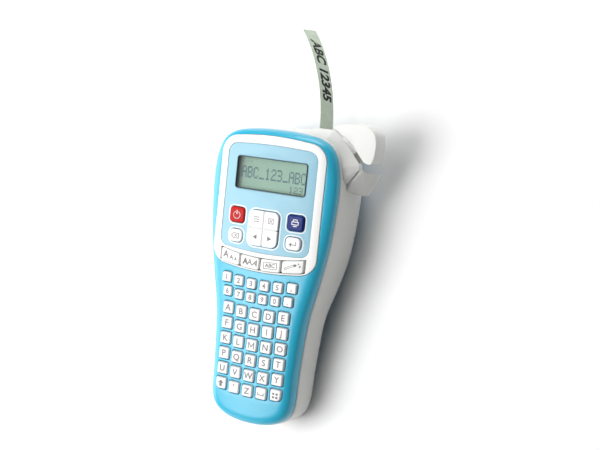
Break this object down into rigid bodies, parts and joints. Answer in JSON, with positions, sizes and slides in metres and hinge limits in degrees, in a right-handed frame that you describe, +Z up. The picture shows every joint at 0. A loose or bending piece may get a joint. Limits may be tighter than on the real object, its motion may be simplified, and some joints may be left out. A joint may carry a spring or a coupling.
{
  "type": "label maker",
  "caption": "Hand-held label maker with a small display, rows of keys, a cutter lever, a tape cassette, a lift-off back cover and a printed tape coming out of the top.",
  "frame": {"origin": "middle of the flat rest face on the back cover, where the head meets the table", "axes": "+Z up away from the table, +Y from the handle to the tape exit, +X to the right of the keys, towards the cutter lever"},
  "size_m": [0.1174, 0.2843, 0.07],
  "materials": {
    "cover_blue": "satin moulded plastic, light blue",
    "panel_blue": "satin moulded plastic, pale blue",
    "case_white": "satin moulded plastic, white",
    "key_white": "fine matt, printed grey legends",
    "key_red": "fine matt",
    "key_navy": "fine matt",
    "window_clear": "clear, polished",
    "display_grey_green": "liquid crystal behind a polariser",
    "rubber_black": "matt",
    "mat_grey": "matt silicone",
    "board_green": "solder mask",
    "steel": "plain",
    "gear_cream": "natural acetal",
    "cassette_grey": "fine texture",
    "socket_black": "matt",
    "tape_green_grey": "laminated film",
    "cell_green": "printed sleeve"
  },
  "bodies": {
    "case": {"rear_case": "case_white", "front_cover": "cover_blue", "bezel_ring": "case_white", "face_panel": "panel_blue", "display_window": "window_clear", "display_module": "display_grey_green", "key_mat": "mat_grey", "main_board": "board_green", "drive_motor": "steel", "roller_holder": "steel", "print_head": "steel", "cassette_base": "cassette_grey", "cassette_lid": "cassette_grey", "label_tape": "tape_green_grey", "lever_pin": "steel", "lever_spring": "steel", "power_socket": "socket_black", "battery_1": "cell_green", "battery_2": "cell_green", "battery_3": "cell_green", "battery_4": "cell_green", "battery_5": "cell_green", "battery_6": "cell_green", "case_screw_1": "steel", "case_screw_2": "steel", "case_screw_3": "steel", "case_screw_4": "steel"},
    "key_row_1": {"key_row_1": "key_white"},
    "key_row_2": {"key_row_2": "key_white"},
    "key_row_3": {"key_row_3": "key_white"},
    "key_row_4": {"key_row_4": "key_white"},
    "key_row_5": {"key_row_5": "key_white"},
    "key_row_6": {"key_row_6": "key_white"},
    "key_row_7": {"key_row_7": "key_white"},
    "key_row_8": {"key_row_8": "key_white"},
    "size_key": {"size_key": "key_white"},
    "style_key": {"style_key": "key_white"},
    "frame_key": {"frame_key": "key_white"},
    "deco_key": {"deco_key": "key_white"},
    "power_key": {"power_key": "key_red"},
    "print_key": {"print_key": "key_navy"},
    "clear_key": {"clear_key": "key_white"},
    "enter_key": {"enter_key": "key_white"},
    "nav_menu_key": {"nav_menu_key": "key_white"},
    "nav_escape_key": {"nav_escape_key": "key_white"},
    "nav_left_key": {"nav_left_key": "key_white"},
    "nav_right_key": {"nav_right_key": "key_white"},
    "cutter_lever": {"cutter_lever": "case_white"},
    "cutter_blade": {"cutter_blade": "steel"},
    "back_cover": {"back_cover": "cover_blue", "rubber_foot": "rubber_black"},
    "idler_gear": {"idler_gear": "gear_cream"},
    "motor_pinion": {"motor_pinion": "gear_cream"},
    "cross_gear": {"cross_gear": "gear_cream"},
    "platen_roller": {"platen_roller": "rubber_black"},
    "ribbon_drive_cam": {"ribbon_drive_cam": "gear_cream", "take_up_spool": "gear_cream"},
    "tape_spool": {"tape_spool": "tape_green_grey"},
    "ribbon_spool": {"ribbon_spool": "rubber_black"}
  },
  "joints": [
    {"name": "key_row_1_press", "type": "slide", "parent": "case", "child": "key_row_1", "axis": [0, 0.1616, -0.9869], "range_m": [0, 0.001], "stiffness_N_per_m": 700, "springref_m": -0.0005},
    {"name": "key_row_2_press", "type": "slide", "parent": "case", "child": "key_row_2", "axis": [0, 0.1616, -0.9869], "range_m": [0, 0.001], "stiffness_N_per_m": 700, "springref_m": -0.0005},
    {"name": "key_row_3_press", "type": "slide", "parent": "case", "child": "key_row_3", "axis": [0, 0.1616, -0.9869], "range_m": [0, 0.001], "stiffness_N_per_m": 700, "springref_m": -0.0005},
    {"name": "key_row_4_press", "type": "slide", "parent": "case", "child": "key_row_4", "axis": [0, 0.1616, -0.9869], "range_m": [0, 0.001], "stiffness_N_per_m": 700, "springref_m": -0.0005},
    {"name": "key_row_5_press", "type": "slide", "parent": "case", "child": "key_row_5", "axis": [0, 0.1616, -0.9869], "range_m": [0, 0.001], "stiffness_N_per_m": 700, "springref_m": -0.0005},
    {"name": "key_row_6_press", "type": "slide", "parent": "case", "child": "key_row_6", "axis": [0, 0.1616, -0.9869], "range_m": [0, 0.001], "stiffness_N_per_m": 700, "springref_m": -0.0005},
    {"name": "key_row_7_press", "type": "slide", "parent": "case", "child": "key_row_7", "axis": [0, 0.1616, -0.9869], "range_m": [0, 0.001], "stiffness_N_per_m": 700, "springref_m": -0.0005},
    {"name": "key_row_8_press", "type": "slide", "parent": "case", "child": "key_row_8", "axis": [0, 0.1616, -0.9869], "range_m": [0, 0.001], "stiffness_N_per_m": 700, "springref_m": -0.0005},
    {"name": "size_key_press", "type": "slide", "parent": "case", "child": "size_key", "axis": [0, 0.1616, -0.9869], "range_m": [0, 0.001], "stiffness_N_per_m": 400, "springref_m": -0.0005},
    {"name": "style_key_press", "type": "slide", "parent": "case", "child": "style_key", "axis": [0, 0.1616, -0.9869], "range_m": [0, 0.001], "stiffness_N_per_m": 400, "springref_m": -0.0005},
    {"name": "frame_key_press", "type": "slide", "parent": "case", "child": "frame_key", "axis": [0, 0.1616, -0.9869], "range_m": [0, 0.001], "stiffness_N_per_m": 400, "springref_m": -0.0005},
    {"name": "deco_key_press", "type": "slide", "parent": "case", "child": "deco_key", "axis": [0, 0.1616, -0.9869], "range_m": [0, 0.001], "stiffness_N_per_m": 400, "springref_m": -0.0005},
    {"name": "power_key_press", "type": "slide", "parent": "case", "child": "power_key", "axis": [0, 0.1616, -0.9869], "range_m": [0, 0.001], "stiffness_N_per_m": 400, "springref_m": -0.0005},
    {"name": "print_key_press", "type": "slide", "parent": "case", "child": "print_key", "axis": [0, 0.1616, -0.9869], "range_m": [0, 0.001], "stiffness_N_per_m": 400, "springref_m": -0.0005},
    {"name": "clear_key_press", "type": "slide", "parent": "case", "child": "clear_key", "axis": [0, 0.1616, -0.9869], "range_m": [0, 0.001], "stiffness_N_per_m": 400, "springref_m": -0.0005},
    {"name": "enter_key_press", "type": "slide", "parent": "case", "child": "enter_key", "axis": [0, 0.1616, -0.9869], "range_m": [0, 0.001], "stiffness_N_per_m": 400, "springref_m": -0.0005},
    {"name": "nav_menu_key_press", "type": "slide", "parent": "case", "child": "nav_menu_key", "axis": [0, 0.1616, -0.9869], "range_m": [0, 0.001], "stiffness_N_per_m": 400, "springref_m": -0.0005},
    {"name": "nav_escape_key_press", "type": "slide", "parent": "case", "child": "nav_escape_key", "axis": [0, 0.1616, -0.9869], "range_m": [0, 0.001], "stiffness_N_per_m": 400, "springref_m": -0.0005},
    {"name": "nav_left_key_press", "type": "slide", "parent": "case", "child": "nav_left_key", "axis": [0, 0.1616, -0.9869], "range_m": [0, 0.001], "stiffness_N_per_m": 400, "springref_m": -0.0005},
    {"name": "nav_right_key_press", "type": "slide", "parent": "case", "child": "nav_right_key", "axis": [0, 0.1616, -0.9869], "range_m": [0, 0.001], "stiffness_N_per_m": 400, "springref_m": -0.0005},
    {"name": "cutter_lever_hinge", "type": "hinge", "parent": "case", "child": "cutter_lever", "pos_m": [0.041, 0.0668, 0.03763], "axis": [0, 0.1616, -0.9869], "range_deg": [0, 11], "stiffness_Nm_per_rad": 1, "springref_deg": -5.73},
    {"name": "cutter_blade_slide", "type": "slide", "parent": "case", "child": "cutter_blade", "axis": [1, 0, 0], "range_m": [0, 0.0014]},
    {"name": "back_cover_lift", "type": "slide", "parent": "case", "child": "back_cover", "axis": [0, 0.1616, -0.9869], "range_m": [0, 0.06]},
    {"name": "idler_gear_spin", "type": "hinge", "parent": "case", "child": "idler_gear", "pos_m": [-0.0011, 0.01762, 0.02856], "axis": [0, -0.1616, 0.9869], "continuous": true},
    {"name": "motor_pinion_spin", "type": "hinge", "parent": "case", "child": "motor_pinion", "pos_m": [-0.02, 0.01762, 0.02856], "axis": [0, -0.1616, 0.9869], "continuous": true},
    {"name": "cross_gear_spin", "type": "hinge", "parent": "case", "child": "cross_gear", "pos_m": [0.01781, 0.03406, 0.03125], "axis": [0, -0.1616, 0.9869], "continuous": true},
    {"name": "platen_roller_spin", "type": "hinge", "parent": "case", "child": "platen_roller", "pos_m": [0.02285, 0.05018, 0.0339], "axis": [0, -0.1616, 0.9869], "continuous": true},
    {"name": "ribbon_drive_cam_spin", "type": "hinge", "parent": "case", "child": "ribbon_drive_cam", "pos_m": [-0.01209, 0.038, 0.0319], "axis": [0, -0.1616, 0.9869], "continuous": true},
    {"name": "tape_spool_spin", "type": "hinge", "parent": "case", "child": "tape_spool", "pos_m": [-0.0214, 0.02186, 0.02926], "axis": [0, -0.1616, 0.9869], "continuous": true},
    {"name": "ribbon_spool_spin", "type": "hinge", "parent": "case", "child": "ribbon_spool", "pos_m": [0.01, 0.02354, 0.02953], "axis": [0, -0.1616, 0.9869], "continuous": true}
  ],
  "couplings": [
    {"joint": "cutter_blade_slide", "follows": "cutter_lever_hinge", "m_per_rad": 0.006771},
    {"joint": "motor_pinion_spin", "follows": "idler_gear_spin", "ratio": -3.2},
    {"joint": "cross_gear_spin", "follows": "idler_gear_spin", "ratio": -1.3333},
    {"joint": "platen_roller_spin", "follows": "idler_gear_spin", "ratio": 2.2857},
    {"joint": "ribbon_drive_cam_spin", "follows": "idler_gear_spin", "ratio": -1.6},
    {"joint": "tape_spool_spin", "follows": "idler_gear_spin", "ratio": 0.615},
    {"joint": "ribbon_spool_spin", "follows": "idler_gear_spin", "ratio": -0.693}
  ]
}
